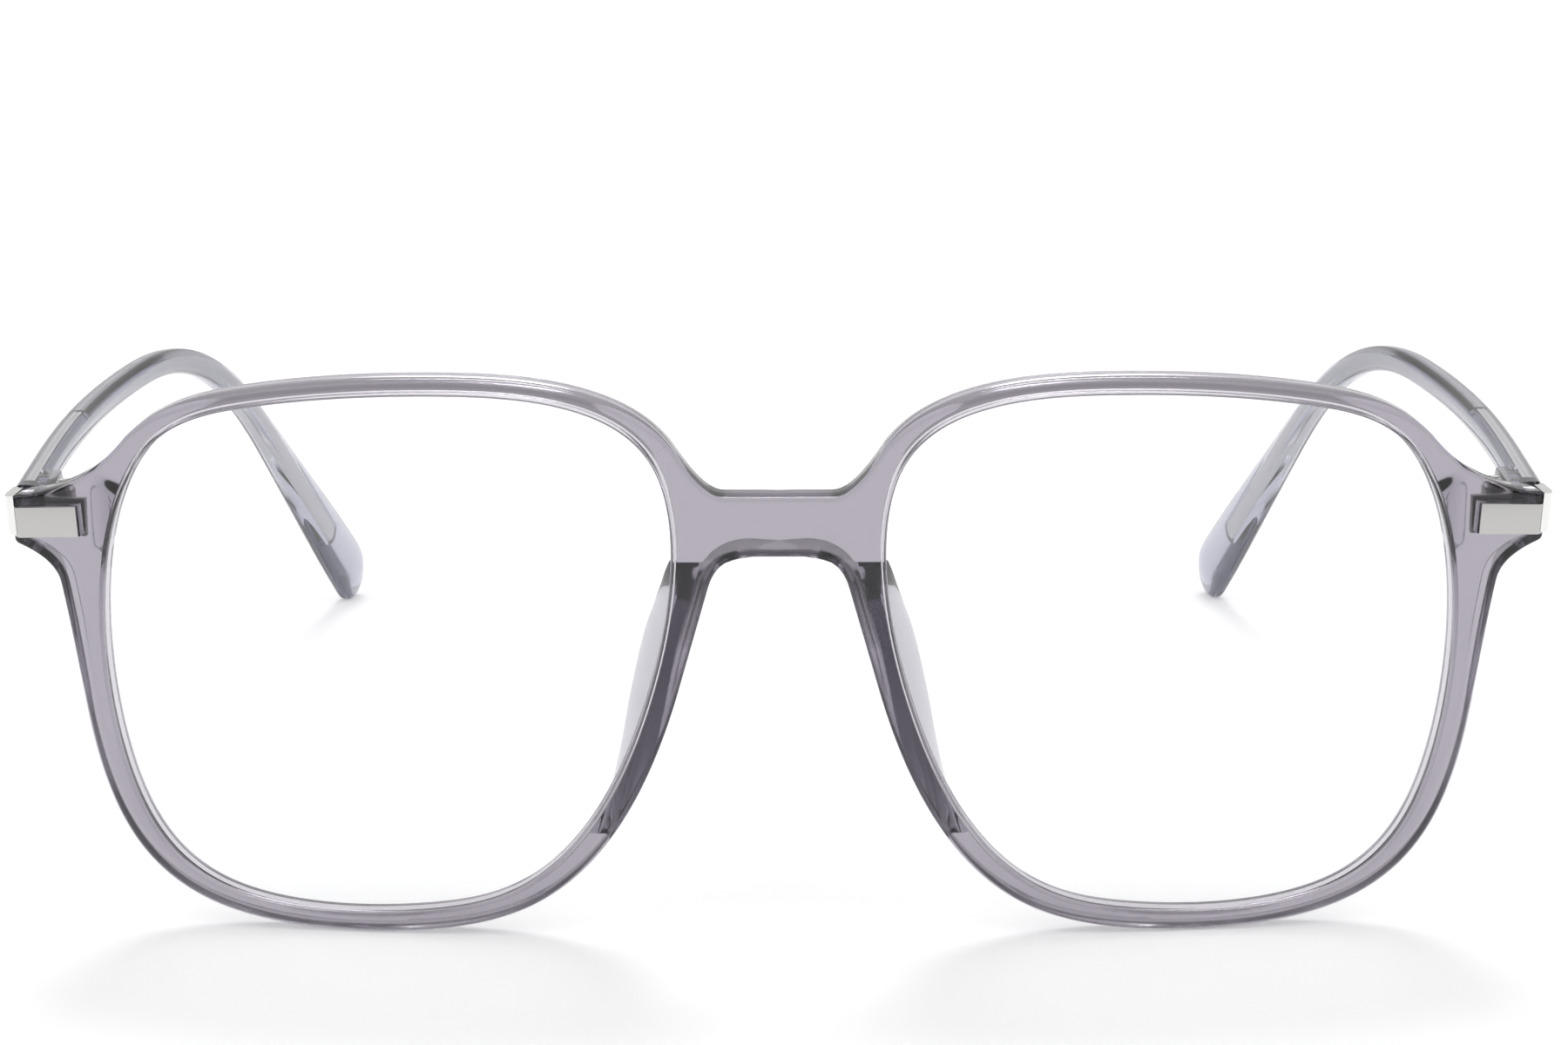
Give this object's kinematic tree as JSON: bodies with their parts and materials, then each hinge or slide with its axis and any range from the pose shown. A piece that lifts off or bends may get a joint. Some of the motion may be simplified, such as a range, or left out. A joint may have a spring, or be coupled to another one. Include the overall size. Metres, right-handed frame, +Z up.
{
  "type": "eyeglasses",
  "caption": "Square eyeglasses with a clear moulded front, metal end trims and slim temples that fold on barrel hinges.",
  "frame": {"origin": "middle of the footprint, on the table that the open glasses rest on", "axes": "+Z up, the front faces -Y, the temples run back along +Y, the wearer's left is +X"},
  "size_m": [0.1444, 0.1346, 0.054],
  "materials": {
    "frame_plastic": "glossy, translucent grey lilac",
    "pad_plastic": "glossy, translucent pale grey",
    "lens_clear": "clear, polished",
    "trim_metal": "satin",
    "hinge_metal": "fine tumbled",
    "screw_metal": "polished",
    "core_metal": "smooth drawn"
  },
  "bodies": {
    "front": {"front_frame": "frame_plastic", "lens_left": "lens_clear", "lens_right": "lens_clear", "nose_pad_left": "pad_plastic", "nose_pad_right": "pad_plastic", "trim_left": "trim_metal", "trim_right": "trim_metal", "front_hinge_left": "hinge_metal", "front_hinge_right": "hinge_metal", "front_rivets_left": "hinge_metal", "front_rivets_right": "hinge_metal", "hinge_screw_left": "screw_metal", "hinge_screw_right": "screw_metal"},
    "left_temple": {"temple_arm_left": "frame_plastic", "temple_core_left": "core_metal", "temple_hinge_left": "hinge_metal", "temple_rivets_left": "hinge_metal"},
    "right_temple": {"temple_arm_right": "frame_plastic", "temple_core_right": "core_metal", "temple_hinge_right": "hinge_metal", "temple_rivets_right": "hinge_metal"}
  },
  "joints": [
    {"name": "left_hinge", "type": "hinge", "parent": "front", "child": "left_temple", "pos_m": [0.06642, -0.0567, 0.03974], "axis": [0, -0.0488, 0.9988], "range_deg": [0, 83]},
    {"name": "right_hinge", "type": "hinge", "parent": "front", "child": "right_temple", "pos_m": [-0.06642, -0.0567, 0.03974], "axis": [0, 0.0488, -0.9988], "range_deg": [0, 79]}
  ]
}
